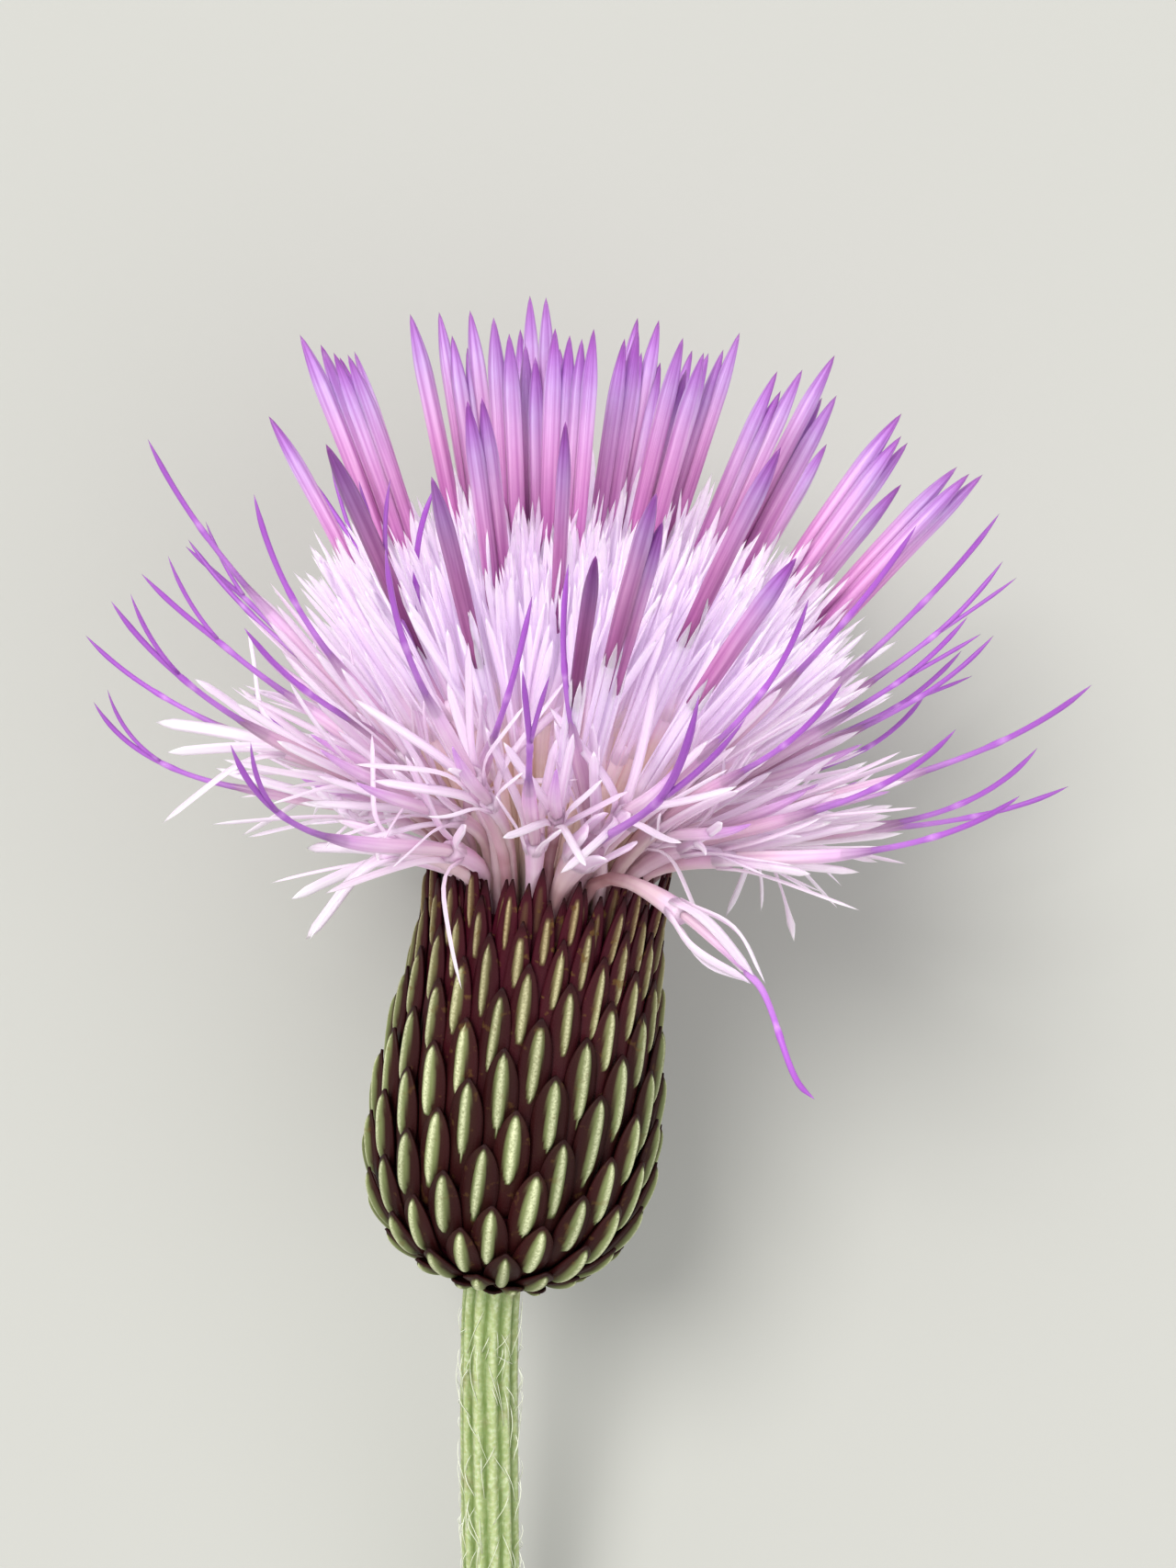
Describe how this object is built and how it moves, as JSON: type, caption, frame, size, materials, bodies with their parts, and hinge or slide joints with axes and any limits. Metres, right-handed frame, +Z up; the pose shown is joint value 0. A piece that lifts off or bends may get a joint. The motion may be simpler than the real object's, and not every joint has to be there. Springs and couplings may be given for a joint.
{
  "type": "cut thistle flower",
  "caption": "Cut thistle flower head lying on its side, a cup of overlapping bracts under a fan of tubular florets, on a bare stem.",
  "frame": {"origin": "centre of the bounding box's bottom face, on the surface that the flower lies on", "axes": "+Z up from that surface, +Y along the stem from its cut end towards the head, +X to the right seen from above"},
  "size_m": [0.0694, 0.1356, 0.0613],
  "materials": {
    "stem": "matte",
    "phyllary": "satin",
    "outer_floret": "satin",
    "inner_floret": "satin"
  },
  "bodies": {
    "root": {"stem": "stem", "phyllary_series_1": "phyllary", "phyllary_series_2": "phyllary", "phyllary_series_3": "phyllary", "phyllary_series_4": "phyllary", "phyllary_series_5": "phyllary", "phyllary_series_6": "phyllary", "phyllary_series_7": "phyllary", "phyllary_series_8": "phyllary", "phyllary_series_9": "phyllary", "outer_floret_01": "outer_floret", "outer_floret_02": "outer_floret", "outer_floret_03": "outer_floret", "outer_floret_04": "outer_floret", "outer_floret_05": "outer_floret", "outer_floret_06": "outer_floret", "outer_floret_07": "outer_floret", "outer_floret_08": "outer_floret", "outer_floret_09": "outer_floret", "outer_floret_10": "outer_floret", "outer_floret_11": "outer_floret", "outer_floret_12": "outer_floret", "outer_floret_13": "outer_floret", "outer_floret_14": "outer_floret", "outer_floret_15": "outer_floret", "outer_floret_16": "outer_floret", "outer_floret_17": "outer_floret", "outer_floret_18": "outer_floret", "outer_floret_19": "outer_floret", "outer_floret_20": "outer_floret", "outer_floret_21": "outer_floret", "outer_floret_22": "outer_floret", "outer_floret_23": "outer_floret", "outer_floret_24": "outer_floret", "floret_clump_01": "inner_floret", "floret_clump_02": "inner_floret", "floret_clump_03": "inner_floret", "floret_clump_04": "inner_floret", "floret_clump_05": "inner_floret", "floret_clump_06": "inner_floret", "floret_clump_07": "inner_floret", "floret_clump_08": "inner_floret", "floret_clump_09": "inner_floret", "floret_clump_10": "inner_floret", "floret_clump_11": "inner_floret", "floret_clump_12": "inner_floret", "floret_clump_13": "inner_floret", "floret_clump_14": "inner_floret", "floret_clump_15": "inner_floret", "floret_clump_16": "inner_floret", "floret_clump_17": "inner_floret", "floret_clump_18": "inner_floret", "floret_clump_19": "inner_floret", "floret_clump_20": "inner_floret", "floret_clump_21": "inner_floret", "floret_clump_22": "inner_floret", "floret_clump_23": "inner_floret", "floret_clump_24": "inner_floret", "floret_clump_25": "inner_floret", "floret_clump_26": "inner_floret"}
  },
  "joints": []
}
